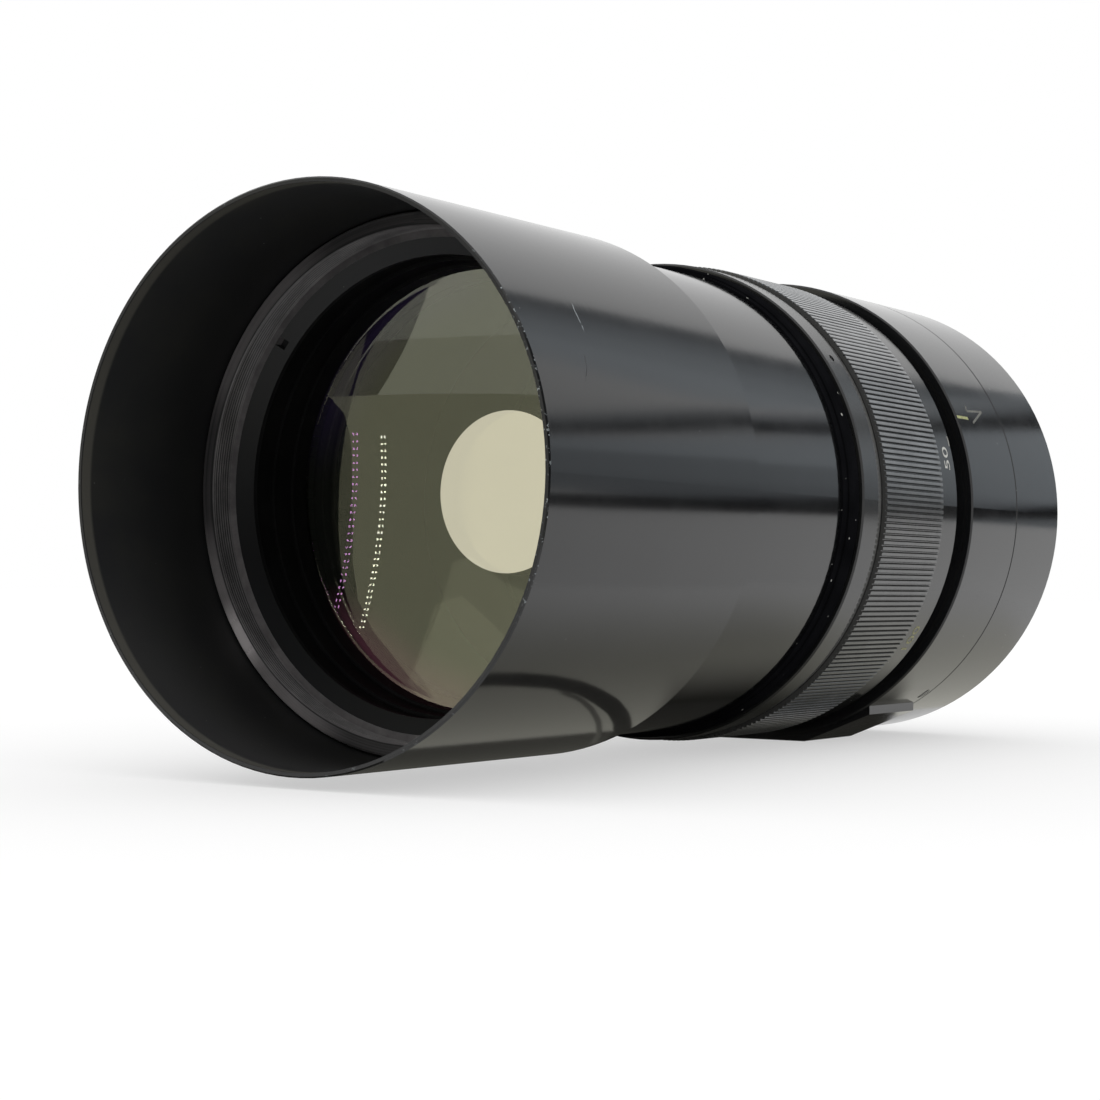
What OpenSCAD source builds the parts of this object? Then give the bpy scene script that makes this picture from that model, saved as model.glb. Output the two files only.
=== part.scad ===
// Mirror telephoto lens with a sliding hood, a knurled focusing ring and a tripod foot
// Millimetres. The lens axis runs along Y, the front looks towards -Y, and +Z is up.
// The origin is the mouth of the tripod socket, in the middle of the foot's flat underside.
// Places along the lens are counted from the front rim of the pulled-out hood.

/* [Tubes, from the inside out] */
// Inside radius of the main tube
core_bore = 52.3; // [50:0.1:55]
// Wall of the main tube
core_wall = 1.7; // [1.5:0.1:2.4]
// Wall of the front barrel where it overlaps the main tube
barrel_wall = 1.5; // [1.4:0.1:2.5]
// Air between the front barrel and the hood
hood_gap = 2; // [1.2:0.1:2.4]
// Wall of the hood
hood_wall = 1; // [0.9:0.1:2]
// Wall of the rear barrel
rear_wall = 5.7; // [5:0.1:7]

/* [Lengths along the lens] */
// How far the pulled-out hood reaches past the barrel
hood_out = 37.5; // [34:0.5:40]
// Length of the hood
hood_len = 81.5; // [78:0.5:84]
// Length of the front barrel with its filter ring
barrel_len = 89.3; // [87:0.1:95]
// Black ring behind the front barrel
black_len = 7.4; // [5:0.1:10]
// Smooth band at the front of the focusing ring
band_len = 8.3; // [6:0.1:11]
// Neck between the smooth band and the knurl
neck_len = 3.1; // [2:0.1:4]
// Knurled grip
grip_len = 32.7; // [30:0.1:36]
// Distance scale band
scale_len = 10.1; // [8:0.1:12]
// Black recess between the focusing ring and the rear barrel
recess_len = 5.4; // [4:0.1:8]
// Rear barrel ahead of the seam, which carries the tripod foot
collar_len = 29.6; // [29:0.1:33]
// Rear barrel behind the seam
rear_len = 30; // [27:0.5:34]
// Cone that closes the rear
cone_len = 12.6; // [11:0.1:15]

/* [Hood] */
// Rounding bevel of the hood's front rim
rim_bevel = 0.3; // [0.2:0.1:0.4]
// Width of the guide ring inside the hood's rear end
guide_len = 7; // [5:0.5:9]
// Distance from the hood's rear edge to the guide ring
guide_inset = 0.5; // [0.3:0.1:2]
// Width of the felt band on the barrel
felt_len = 8; // [6:0.5:10]
// Share of the room between the filter ring and the stop ring that lies ahead of the felt band
felt_share = 0.39; // [0.2:0.01:0.8]
// Depth of the grooves for the felt band and the stop ring
groove_depth = 0.8; // [0.5:0.1:0.9]
// Width of the stop ring on the barrel
stop_len = 2; // [1.5:0.1:2.5]
// Gap from the stop ring to the guide ring when the hood is out
stop_gap = 0.1; // [0.05:0.05:0.2]

/* [Front optics] */
// Length of the filter ring at the front of the barrel
filter_len = 8; // [7:0.5:9]
// Depth of the thread recess for a front filter
filter_depth = 5.8; // [4.5:0.1:6]
// Wall around the thread recess
filter_wall = 1.5; // [1.3:0.1:2]
// Bevel inside the front edge
filter_bevel = 0.3; // [0.2:0.1:0.8]
// Shoulder inside the front barrel against the main tube
barrel_shoulder = 1.6; // [1.2:0.1:2]
// Overlap of the front barrel on the main tube
barrel_lap = 9.3; // [7:0.1:12]
// Width of the front retainer's sloping face
retainer_width = 3.4; // [3:0.1:3.8]
// How far that face slopes back towards its bore
retainer_fall = 2.1; // [1:0.1:2.3]
// Thickness of the front retainer
retainer_len = 3.3; // [2.5:0.1:4]
// Width of the spanner notches
notch_width = 2.2; // [1.5:0.1:3]
// Depth of the spanner notches
notch_depth = 2; // [1:0.1:2.2]
// Turn of the spanner notches from the horizontal
notch_turn = 38.6; // [0:0.2:90]
// How far the lip in front of the glass reaches inside the retainer's bore
lip_reach = 1; // [0.4:0.1:2]
// Length of the lip in front of the glass
front_lip = 4.5; // [3:0.1:5]
// Number of steps that catch stray light ahead of the glass
step_count = 2; // [2:1:5]
// How far the first step stands back from the retainer's bore
step_rise = 0.5; // [0.3:0.1:0.6]
// Depth from the barrel's front to the glass seat
seat_depth = 25; // [22:0.1:27]
// Thickness of the shoulder in front of the rear lenses
seat_lip = 2.3; // [1.8:0.1:3]
// Overlap of the glass on its seat
seat_width = 2.6; // [2.3:0.1:2.9]
// Radius of curvature of the glass in front
front_curve = 145; // [140:1:180]
// Radius of curvature of the glass behind
back_curve = 172; // [160:1:190]
// Thickness of the glass on the axis
glass_mid = 7.5; // [7:0.5:10]
// Length of the ring that holds the glass from behind
lock_len = 4; // [3:0.5:6]
// Width of the ring that holds the glass from behind
lock_width = 2.5; // [2:0.1:3]
// Length of the lens cell behind the glass
cell_tail = 7; // [6.5:0.5:10]
// Radius of the silvered spot on the back of the glass
spot_r = 18.5; // [16:0.1:20]
// Thickness of the silvered spot
spot_len = 0.4; // [0.2:0.1:0.6]
// Length of the black shade tube behind the spot
shade_len = 17; // [12:1:22]
// Wall of the shade tube
shade_wall = 1.2; // [0.8:0.1:2]
// Widening of the shade tube over its length
shade_flare = 1.5; // [0:0.1:3]

/* [Focusing ring] */
// Rise of the black ring over the front barrel
black_rise = 1.4; // [1.2:0.1:2]
// Rise of the lower step at the black ring's front
black_step_rise = 0.6; // [0.3:0.1:0.6]
// Length of that lower step
black_step_len = 2.5; // [1.5:0.1:4]
// Bevel at the front of the black ring's higher part
black_bevel = 0.4; // [0.2:0.1:0.6]
// Wall of the sleeve under the focusing ring
sleeve_wall = 1.95; // [1.8:0.05:2.6]
// Rise of the smooth band over the sleeve
band_rise = 1.8; // [1.4:0.1:2.2]
// Rise of the neck over the sleeve
neck_rise = 1.3; // [0.6:0.1:1.4]
// Rise of the knurl over the sleeve
grip_rise = 2.5; // [2.3:0.1:3]
// Rise of the scale band over the sleeve
scale_rise = 1.9; // [1.5:0.1:2.1]
// Number of ribs round the knurl
rib_count = 270; // [180:2:300]
// Depth of the grooves between the ribs
rib_depth = 0.5; // [0.3:0.1:0.6]
// Share of the pitch that a rib's flat top takes
rib_top_share = 0.5; // [0.3:0.05:0.6]
// Share of the pitch that a groove's floor takes
rib_floor_share = 0.14; // [0.1:0.02:0.2]
// Bevel on the edges of the turned rings
edge_bevel = 0.4; // [0.2:0.1:0.6]
// Radius of the ring's three set screws
set_r = 0.9; // [0.7:0.1:1.1]
// Length of the set screws
set_len = 1.4; // [1:0.1:1.5]
// How deep the set screws lie
set_sink = 0.25; // [0.1:0.05:0.3]
// Angle of the first set screw above the horizontal
set_angle = 35; // [0:1:60]

/* [Mirror] */
// Radius of the main mirror
mirror_r = 49.6; // [48.5:0.1:49.8]
// Thickness of the main mirror at its edge
mirror_len = 12; // [10:0.5:14]
// Radius of curvature of the main mirror
mirror_curve = 500; // [420:10:600]
// Radius of the hole through the mirror
mirror_hole = 17.6; // [17:0.1:20]
// Distance from the rear barrel's end to the back of the mirror
mirror_inset = 14; // [12:0.5:18]
// Thickness of the mirror cell's floor
cell_floor = 4; // [3:0.5:5]
// Width of the ring that holds the mirror in its cell
clip_width = 2.4; // [2:0.1:3.5]
// Length of the ring that holds the mirror in its cell
clip_len = 3; // [2:0.5:4]
// Wall of the mirror carriage tube
carriage_wall = 1.65; // [1.2:0.05:2]
// Distance from the focusing ring's front to the carriage tube's front end
carriage_inset = 16; // [14:0.5:20]
// Distance from the carriage tube's front end to the guide pins
pin_inset = 11; // [9.5:0.5:13]
// Radius of the guide pins
pin_r = 2; // [1.5:0.1:2.5]
// Forward travel of the mirror to the nearest focus
travel_near = 5.6; // [4:0.1:6]
// Backward travel of the mirror to the farthest focus
travel_far = 1.4; // [1:0.1:2]
// Depth of the pin track inside the sleeve
track_depth = 1.3; // [1:0.1:1.5]
// Inside radius of the central baffle tube
baffle_r = 13.6; // [12:0.1:14]
// Wall of the central baffle tube
baffle_wall = 1.6; // [1:0.1:1.8]
// Length of the central baffle tube ahead of the mirror cell's floor
baffle_len = 74; // [60:1:80]

/* [Rear barrel and foot] */
// Wall of the rear shell behind the seam
shell_wall = 2.7; // [2.2:0.1:3.2]
// Thickness of the web that holds the rear shell on the main tube
shell_web = 5; // [4:0.5:7]
// Rise of the black recess floor over the main tube
recess_rise = 1.4; // [1:0.1:1.8]
// Width of the bevel at the seam and the rear edge
seam_bevel = 0.35; // [0.2:0.05:0.5]
// Half width of the foot
foot_half = 31.5; // [28:0.5:34]
// Half width of the foot's flat underside
foot_flat_half = 13; // [12:0.5:16]
// How far the flat underside lies below the rear barrel
foot_drop = 0.9; // [0.8:0.1:3]
// Height of the foot's end faces
foot_end = 2.2; // [1.6:0.1:3]
// Length of the foot
foot_len = 27.4; // [25:0.2:28.4]
// Distance from the rear barrel's front to the foot
foot_inset = 0.8; // [0.4:0.1:1.2]
// Outer radius of the steel bush in the foot
bush_r = 4.76; // [4.5:0.01:5.2]
// Radius of the tripod thread
socket_r = 3.175; // [3:0.005:3.2]
// Length of the bush
bush_len = 5.8; // [5:0.1:6]
// Distance of the foot's screws from the socket, along and across
foot_screw_at = 9; // [8.4:0.1:9.2]
// Radius of the foot screws' shanks
foot_screw_r = 1.5; // [1.2:0.1:1.6]
// Length of the foot screws
foot_screw_len = 5; // [4:0.1:5.4]
// Radius of the screw heads
foot_head_r = 2.7; // [2.4:0.1:2.9]
// Radius of the two slotted collar screws
collar_screw_r = 1.9; // [1.6:0.1:2.2]
// Length of the slotted collar screws
collar_screw_len = 3; // [2:0.1:4]
// Distance from the seam to the collar screws
collar_screw_inset = 3; // [2.5:0.1:4]
// Angle of the collar screw from straight down
collar_screw_angle = 36; // [34:1:60]
// Width of the driver slots
slot_width = 0.8; // [0.6:0.1:1]
// Depth of the driver slots
slot_depth = 0.6; // [0.4:0.1:0.8]

/* [Camera side] */
// Thickness of the mount flange
flange_len = 3; // [2.5:0.1:4]
// Width of the mount flange around its register tube
flange_width = 8; // [7.6:0.1:9]
// Outer radius of the mount's register tube
register_r = 23.5; // [23.2:0.1:24]
// Wall of the register tube
register_wall = 2.2; // [2:0.1:2.4]
// Length of the register tube
register_len = 5; // [4.8:0.1:6]
// Rise of the three bayonet lugs
lug_rise = 2.1; // [1.5:0.1:2.3]
// Thickness of the bayonet lugs
lug_len = 1.8; // [1.4:0.1:2]
// Distance from the flange to the lugs
lug_inset = 2.4; // [2.2:0.1:2.6]
// Angle that each lug spans
lug_angle = 52; // [40:1:60]
// Share of the flange's width at which the mount screws stand
mount_screw_share = 0.56; // [0.52:0.01:0.6]
// Number of mount screws
mount_screw_count = 5; // [3:1:6]
// Radius of the mount screws' shanks
mount_screw_r = 1; // [0.8:0.1:1.2]
// Radius of the mount screws' heads
mount_head_r = 1.9; // [1.7:0.1:2.1]
// Length of the mount screws
mount_screw_len = 5; // [4:0.1:5.2]
// Radius of the bore in the rear cone
hub_bore = 22.5; // [22.3:0.1:22.7]
// Length of the hub inside the rear cone
hub_len = 7.5; // [7:0.1:8]
// Wall of the rear cone
cone_wall = 3; // [2.5:0.1:3.6]
// Shares of the cone's length at which its shoulder ends and its foot begins
cone_shares = [0.31, 0.81];
// Length of the spigot that enters the rear shell
spigot_len = 6; // [5:0.1:7]
// Outer radius of the rear lens cell's front part
rear_cell_r = 19.6; // [19:0.1:20]
// Length of the rear lens cell
rear_cell_len = 18.5; // [18:0.1:19]
// Clear radius through the rear lenses
rear_clear = 15.4; // [15:0.1:16]
// Edge radius of the rear lenses
rear_lens_r = 17.2; // [17:0.1:17.6]
// Edge thickness of the front lens of the rear pair
rear_lens_a = 3; // [2.6:0.1:3.4]
// Edge thickness of the rear lens of the rear pair
rear_lens_b = 2.4; // [2:0.1:2.8]
// Spacer between the rear lenses
rear_spacer = 3; // [2.6:0.1:3.6]
// Ring that holds the rear lenses
rear_lock = 2.4; // [2:0.1:2.8]
// Radius of curvature of the rear lenses
rear_curve = 70; // [62:1:90]
// Radius of the rear filter's thread
rear_filter_r = 19.5; // [19.4:0.05:19.6]
// Length of the rear filter's thread
rear_thread_len = 3; // [2.5:0.1:3.2]
// Radius of the rear filter's rim
rear_rim_r = 20.8; // [20.6:0.1:20.9]
// Length of the rear filter's rim
rear_rim_len = 3.4; // [3:0.1:4]
// Wall of the rear filter's ring
rear_ring_wall = 1.6; // [1.4:0.1:1.8]
// Thickness of the rear filter glass
rear_glass = 1.4; // [1:0.1:1.6]

/* [Fits] */
// Radial running clearance of turning and sliding parts
run_gap = 0.05; // [0.03:0.01:0.08]
// Clearance between parts that pass without touching
clear_gap = 0.3; // [0.3:0.05:0.4]

/* [Hidden] */
// Extra length that every cut runs past the wall it goes through
over = core_wall;
$fn = 180;

// Radii of the tubes
core_r = core_bore + core_wall;
barrel_r = core_r + barrel_wall;
barrel_bore = core_r - barrel_shoulder;
hood_bore = barrel_r + hood_gap;
hood_r = hood_bore + hood_wall;
rear_r = core_r + rear_wall;
sleeve_bore = core_r + run_gap;
sleeve_r = sleeve_bore + sleeve_wall;
groove_r = barrel_r - groove_depth;

// Places along the lens
s_front = hood_out;
s_black = s_front + barrel_len;
s_band = s_black + black_len;
s_neck = s_band + band_len;
s_grip = s_neck + neck_len;
s_scale = s_grip + grip_len;
s_recess = s_scale + scale_len;
s_collar = s_recess + recess_len;
s_seam = s_collar + collar_len;
s_rear = s_seam + rear_len;
s_cone = s_rear + cone_len;
s_flange = s_cone + flange_len;
s_lap = s_black - barrel_lap;
s_guide = hood_len - guide_inset - guide_len;
s_stop = s_guide - stop_gap - stop_len;
s_felt = s_front + filter_len + (s_stop - s_front - filter_len - felt_len) * felt_share;
s_seat = s_front + seat_depth;
s_retainer = s_front + filter_depth;
s_cell = s_retainer + retainer_len;
s_mirror_back = s_rear - mirror_inset;
s_mirror = s_mirror_back - mirror_len;
s_carriage = s_band + carriage_inset;
s_pin = s_carriage + pin_inset;
s_core_end = s_mirror_back + cell_floor + travel_far + clear_gap;
s_rear_cell = s_cone - rear_cell_len;
s_foot = s_collar + foot_inset;
foot_mid = s_foot + foot_len / 2;
axis_height = rear_r + foot_drop;

// Front glass
function sag(curve, r) = curve - sqrt(curve * curve - r * r);
cell_r = barrel_bore;
retainer_bore = cell_r - retainer_width;
aperture_r = retainer_bore - lip_reach;
glass_r = aperture_r + seat_width;
s_glass = s_seat + sag(front_curve, aperture_r + clear_gap);
s_glass_back = s_glass + glass_mid;
s_lock = s_glass_back - sag(back_curve, glass_r - lock_width);
s_cell_end = s_lock + cell_tail;

// Camera mount
flange_r = register_r + flange_width;
mount_screw_at = register_r + flange_width * mount_screw_share;

// Rear lenses
s_lens_a = s_rear_cell + seat_lip;
s_spacer = s_lens_a + rear_lens_a;
s_lens_b = s_spacer + rear_spacer;
s_rear_lock = s_lens_b + rear_lens_b;

// Mirror cell
carriage_r = core_bore - run_gap;
carriage_bore = carriage_r - carriage_wall;
cup_bore = mirror_r + clear_gap;
baffle_out = baffle_r + baffle_wall;
hub_r = mirror_hole - clear_gap;
s_clip = s_mirror - clip_len;

// Stands a shape turned about Z on the lens axis
module on_axis() {
    translate([0, -foot_mid, axis_height]) rotate([-90, 0, 0]) children();
}

// A turned shape from its profile of [radius, place] points
module turned(profile) {
    on_axis() rotate_extrude() polygon(profile);
}

// A plain ring
module ring(bore, r, from, to) {
    turned([[bore, from], [r, from], [r, to], [bore, to]]);
}

// A ring with bevelled outer edges
module bevel_ring(bore, r, from, to, front, back) {
    turned([[bore, from], [r - front, from], [r, from + front], [r, to - back], [r - back, to], [bore, to]]);
}

// Children on the surface, looking outwards, at an angle from straight down towards +X
module at_angle(angle, s) {
    on_axis() translate([0, 0, s]) rotate([0, 0, -angle]) rotate([-90, 0, 0]) children();
}

module hood() {
    color("#1b1c1e")
    bevel_ring(hood_bore, hood_r, 0, hood_len, rim_bevel, seam_bevel);
}

module hood_guide_ring() {
    color("#2a2a2c")
    ring(barrel_r + run_gap, hood_bore, s_guide, s_guide + guide_len);
}

module hood_felt_band() {
    color("#101010")
    ring(groove_r, hood_bore - run_gap, s_felt, s_felt + felt_len);
}

module hood_stop_ring() {
    color("#8c8c90")
    ring(groove_r, hood_bore - clear_gap, s_stop, s_stop + stop_len);
}

// Tube with its two outer grooves and the counterbore for the main tube
module front_barrel() {
    color("#1d1e20")
    difference() {
        turned([[barrel_bore, s_front + filter_len], [barrel_r, s_front + filter_len], [barrel_r, s_black],
            [core_r, s_black], [core_r, s_lap], [barrel_bore, s_lap]]);
        ring(groove_r, barrel_r + over, s_felt, s_felt + felt_len);
        ring(groove_r, barrel_r + over, s_stop, s_stop + stop_len);
    }
}

module filter_ring() {
    thread_r = barrel_r - filter_wall;
    out = hood_bore - clear_gap;
    color("#6e6c68")
    turned([[thread_r + filter_bevel, s_front], [out - filter_bevel, s_front],
        [out, s_front + filter_bevel], [out, s_front + filter_len],
        [cell_r, s_front + filter_len], [cell_r, s_front + filter_depth],
        [thread_r, s_front + filter_depth], [thread_r, s_front + filter_bevel]]);
}

// Ring with a hollow front face and two spanner notches
module front_retainer() {
    color("#2c2d2f")
    difference() {
        turned([[retainer_bore, s_retainer + retainer_fall], [cell_r, s_retainer], [cell_r, s_cell],
            [retainer_bore, s_cell]]);
        on_axis() for (turn = [0, 180]) rotate([0, 0, turn + notch_turn])
            translate([cell_r - notch_depth, -notch_width / 2, s_retainer - over])
                cube([notch_depth + over, notch_width, notch_depth + over]);
    }
}

// Black cell with light-catching steps ahead of the glass seat
module corrector_cell() {
    step = (s_seat - front_lip - s_cell) / step_count;
    bore = retainer_bore + step_rise;
    fall = (bore - aperture_r) / step_count;
    color("#141415")
    turned(concat(
        [[cell_r, s_cell], [cell_r, s_cell_end], [glass_r, s_cell_end], [glass_r, s_seat],
            [aperture_r, s_seat], [aperture_r, s_seat - front_lip]],
        [for (i = [step_count - 1:-1:0]) each
            [[bore - fall * i, s_cell + step * (i + 1)], [bore - fall * i, s_cell + step * i]]]));
}

module corrector_glass() {
    color("#9aa08c", 0.35)
    on_axis() difference() {
        intersection() {
            translate([0, 0, s_seat]) cylinder(r = glass_r, h = s_glass_back - s_seat + over);
            translate([0, 0, s_glass_back - back_curve]) sphere(r = back_curve);
        }
        translate([0, 0, s_glass - front_curve]) sphere(r = front_curve);
    }
}

// Silvered spot that follows the back of the glass
module secondary_spot() {
    color("#dad8cc")
    on_axis() intersection() {
        difference() {
            translate([0, 0, s_glass_back - back_curve]) sphere(r = back_curve + spot_len);
            translate([0, 0, s_glass_back - back_curve]) sphere(r = back_curve);
        }
        translate([0, 0, s_glass]) cylinder(r = spot_r, h = glass_mid + over);
    }
}

// Shade tube that stands on the back of the spot
module secondary_shade() {
    out = spot_r - clear_gap;
    end = s_glass_back + shade_len;
    color("#121212")
    difference() {
        turned([[out - shade_wall, s_glass], [out, s_glass], [out + shade_flare, end],
            [out + shade_flare - shade_wall, end]]);
        on_axis() translate([0, 0, s_glass_back - back_curve]) sphere(r = back_curve + spot_len);
    }
}

module corrector_lock_ring() {
    color("#1a1a1b")
    ring(glass_r - lock_width, glass_r, s_lock, s_lock + lock_len);
}

// Ring in two steps between the front barrel and the focusing ring
module black_ring() {
    low_r = barrel_r + black_step_rise;
    high_r = barrel_r + black_rise;
    step_s = s_black + black_step_len;
    end = s_band - clear_gap;
    color("#0f0f10")
    turned([[core_r, s_black], [low_r, s_black], [low_r, step_s], [high_r - black_bevel, step_s],
        [high_r, step_s + black_bevel], [high_r, end - seam_bevel], [high_r - seam_bevel, end], [core_r, end]]);
}

// Main tube with three slots along it for the guide pins
module core_tube() {
    slot_from = s_pin - pin_r - travel_near - clear_gap;
    slot_to = s_pin + pin_r + travel_far + clear_gap;
    slot_half = pin_r + run_gap;
    color("#2b2c2e")
    difference() {
        ring(core_bore, core_r, s_lap, s_core_end);
        on_axis() for (turn = [0:120:240]) rotate([0, 0, turn])
            translate([core_bore - over, -slot_half, slot_from])
                cube([core_wall + 2 * over, 2 * slot_half, slot_to - slot_from]);
    }
}

// Outline of the straight knurl, four points to each rib
function knurl_points(r) = [for (i = [0:rib_count - 1]) each
    let (pitch = 360 / rib_count, flank = (1 - rib_top_share - rib_floor_share) / 2,
        top = pitch * rib_top_share, slope = pitch * flank, at = pitch * i)
    [r * [cos(at), sin(at)], r * [cos(at + top), sin(at + top)],
        (r - rib_depth) * [cos(at + top + slope), sin(at + top + slope)],
        (r - rib_depth) * [cos(at + pitch - slope), sin(at + pitch - slope)]]];

// Smooth band, neck and knurled grip, turned from one piece
module focus_grip() {
    band_r = sleeve_r + band_rise;
    neck_r = sleeve_r + neck_rise;
    color("#232426")
    difference() {
        union() {
            turned([[sleeve_r, s_band], [band_r - edge_bevel, s_band], [band_r, s_band + edge_bevel],
                [band_r, s_neck - edge_bevel], [band_r - edge_bevel, s_neck], [neck_r, s_neck],
                [neck_r, s_scale], [sleeve_r, s_scale]]);
            on_axis() translate([0, 0, s_grip]) linear_extrude(grip_len) difference() {
                polygon(knurl_points(sleeve_r + grip_rise));
                circle(r = sleeve_r + neck_rise / 2);
            }
        }
        for (turn = [0:120:240]) at_angle(90 + set_angle + turn, s_band + band_len / 2)
            translate([0, 0, sleeve_r - over]) cylinder(r = set_r, h = band_rise + 2 * over);
    }
}

module scale_ring() {
    color("#1f2022")
    bevel_ring(sleeve_r, sleeve_r + scale_rise, s_scale, s_recess, edge_bevel, edge_bevel);
}

// Sleeve that carries the ring and moves the guide pins
module focus_sleeve() {
    track_r = sleeve_bore + track_depth;
    track_from = s_pin - pin_r - travel_near - clear_gap;
    track_to = s_pin + pin_r + travel_far + clear_gap;
    color("#a08a4c")
    turned([[sleeve_bore, s_band + clear_gap], [sleeve_r, s_band + clear_gap], [sleeve_r, s_recess - clear_gap],
        [sleeve_bore, s_recess - clear_gap], [sleeve_bore, track_to], [track_r, track_to],
        [track_r, track_from], [sleeve_bore, track_from]]);
}

module focus_set_screws() {
    color("#0c0c0c")
    for (turn = [0:120:240]) at_angle(90 + set_angle + turn, s_band + band_len / 2)
        translate([0, 0, sleeve_r + band_rise - set_sink - set_len]) difference() {
            cylinder(r = set_r, h = set_len);
            translate([-set_r - over, -slot_width / 4, set_len - slot_depth])
                cube([2 * (set_r + over), slot_width / 2, slot_depth + over]);
        }
}

// Tube and cup that carry the mirror, with a hub for the central tube
module mirror_carriage() {
    floor_back = s_mirror_back + cell_floor;
    color("#1a1a1b")
    difference() {
        turned([[carriage_bore, s_carriage], [carriage_r, s_carriage], [carriage_r, floor_back],
            [baffle_out, floor_back], [baffle_out, s_mirror], [hub_r, s_mirror], [hub_r, s_mirror_back],
            [cup_bore, s_mirror_back], [cup_bore, s_clip - clip_len], [carriage_bore, s_clip - clip_len]]);
        on_axis() for (turn = [0:120:240]) rotate([0, 0, turn]) translate([carriage_bore - over, 0, s_pin])
            rotate([0, 90, 0]) cylinder(r = pin_r, h = carriage_wall + 2 * over);
    }
}

module primary_mirror() {
    color("#c9cabd")
    on_axis() difference() {
        translate([0, 0, s_mirror]) cylinder(r = mirror_r, h = mirror_len);
        translate([0, 0, s_mirror + sag(mirror_curve, mirror_r) - mirror_curve]) sphere(r = mirror_curve);
        translate([0, 0, s_mirror - over]) cylinder(r = mirror_hole, h = mirror_len + 2 * over);
    }
}

module mirror_clip_ring() {
    color("#161617")
    ring(cup_bore - clip_width, cup_bore, s_clip, s_mirror);
}

module guide_pins() {
    color("#b9a45c")
    on_axis() for (turn = [0:120:240]) rotate([0, 0, turn]) translate([carriage_bore, 0, s_pin])
        rotate([0, 90, 0]) cylinder(r = pin_r, h = sleeve_bore + track_depth - clear_gap - carriage_bore);
}

module baffle_tube() {
    color("#101010")
    ring(baffle_r, baffle_out, s_mirror_back - baffle_len, s_mirror_back + cell_floor);
}

module recess_band() {
    color("#0b0b0b")
    ring(core_r, core_r + recess_rise, s_recess + clear_gap, s_collar);
}

// Rear barrel ahead of the seam, bored for the foot's bush and screws and for the collar screws
module rear_collar() {
    color("#1e1f21")
    difference() {
        bevel_ring(core_r, rear_r, s_collar, s_seam, edge_bevel, seam_bevel);
        translate([0, 0, -over]) cylinder(r = bush_r, h = bush_len + over);
        foot_places() cylinder(r = foot_screw_r, h = foot_screw_len);
        collar_places() translate([0, 0, -collar_screw_len])
            cylinder(r = collar_screw_r, h = collar_screw_len + over);
    }
}

module rear_shell() {
    color("#1d1e20")
    turned([[core_r, s_seam], [rear_r - seam_bevel, s_seam], [rear_r, s_seam + seam_bevel],
        [rear_r, s_rear - edge_bevel], [rear_r - edge_bevel, s_rear], [rear_r - shell_wall, s_rear],
        [rear_r - shell_wall, s_seam + shell_web], [core_r, s_seam + shell_web]]);
}

// Cone that closes the rear, with a spigot in the shell and a hub for the rear lens cell
module rear_cone() {
    out = rear_r - shell_wall;
    hub_out = flange_r - cone_wall / 2;
    shoulder = s_rear + cone_len * cone_shares[0];
    foot_s = s_rear + cone_len * cone_shares[1];
    color("#222325")
    difference() {
        turned([[out - cone_wall, s_rear - spigot_len], [out, s_rear - spigot_len], [out, s_rear],
            [rear_r - edge_bevel, s_rear], [rear_r - edge_bevel, s_rear + edge_bevel],
            [out, shoulder], [flange_r, foot_s], [flange_r, s_cone], [hub_bore, s_cone],
            [hub_bore, s_cone - hub_len], [hub_out, s_cone - hub_len], [hub_out, foot_s - cone_wall],
            [out - cone_wall, shoulder - cone_wall]]);
        mount_screw_places() cylinder(r = mount_screw_r, h = mount_screw_len);
    }
}

// The foot's four screw places, at its underside
module foot_places() {
    for (x = [-1, 1], y = [-1, 1]) translate([x * foot_screw_at, y * foot_screw_at, 0]) children();
}

// The two collar screw places, at the surface and looking outwards
module collar_places() {
    for (turn = [0, 180]) at_angle(collar_screw_angle + turn, s_seam - collar_screw_inset)
        translate([0, 0, rear_r]) children();
}

// Low saddle foot with a flat underside and sloping flanks
module tripod_foot() {
    end_top = axis_height - sqrt(rear_r * rear_r - foot_half * foot_half);
    color("#202123")
    difference() {
        translate([0, foot_len / 2, 0]) rotate([90, 0, 0]) linear_extrude(foot_len)
            polygon([[-foot_flat_half, 0], [foot_flat_half, 0], [foot_half, end_top - foot_end],
                [foot_half, end_top], [-foot_half, end_top], [-foot_half, end_top - foot_end]]);
        on_axis() translate([0, 0, s_foot - over]) cylinder(r = rear_r, h = foot_len + 2 * over);
        translate([0, 0, -over]) cylinder(r = bush_r, h = bush_len + over);
        foot_places() translate([0, 0, -over]) cylinder(r = foot_screw_r, h = foot_screw_len + over);
        foot_places() cylinder(r1 = foot_head_r, r2 = foot_screw_r, h = foot_head_r - foot_screw_r);
    }
}

module tripod_bush() {
    color("#a9a8a4")
    difference() {
        cylinder(r = bush_r, h = bush_len);
        translate([0, 0, -over]) cylinder(r = socket_r, h = bush_len + 2 * over);
    }
}

module foot_screws() {
    color("#3a3a3c")
    foot_places() difference() {
        union() {
            cylinder(r1 = foot_head_r, r2 = foot_screw_r, h = foot_head_r - foot_screw_r);
            cylinder(r = foot_screw_r, h = foot_screw_len);
        }
        translate([-foot_head_r - over, -slot_width / 2, -over])
            cube([2 * (foot_head_r + over), slot_width, over + slot_depth]);
    }
}

module collar_screws() {
    color("#161617")
    intersection() {
        collar_places() difference() {
            translate([0, 0, -collar_screw_len]) cylinder(r = collar_screw_r, h = collar_screw_len + over);
            translate([-collar_screw_r - over, -slot_width / 2, -slot_depth])
                cube([2 * (collar_screw_r + over), slot_width, slot_depth + 2 * over]);
        }
        ring(core_r, rear_r - run_gap, s_collar, s_seam);
    }
}

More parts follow.
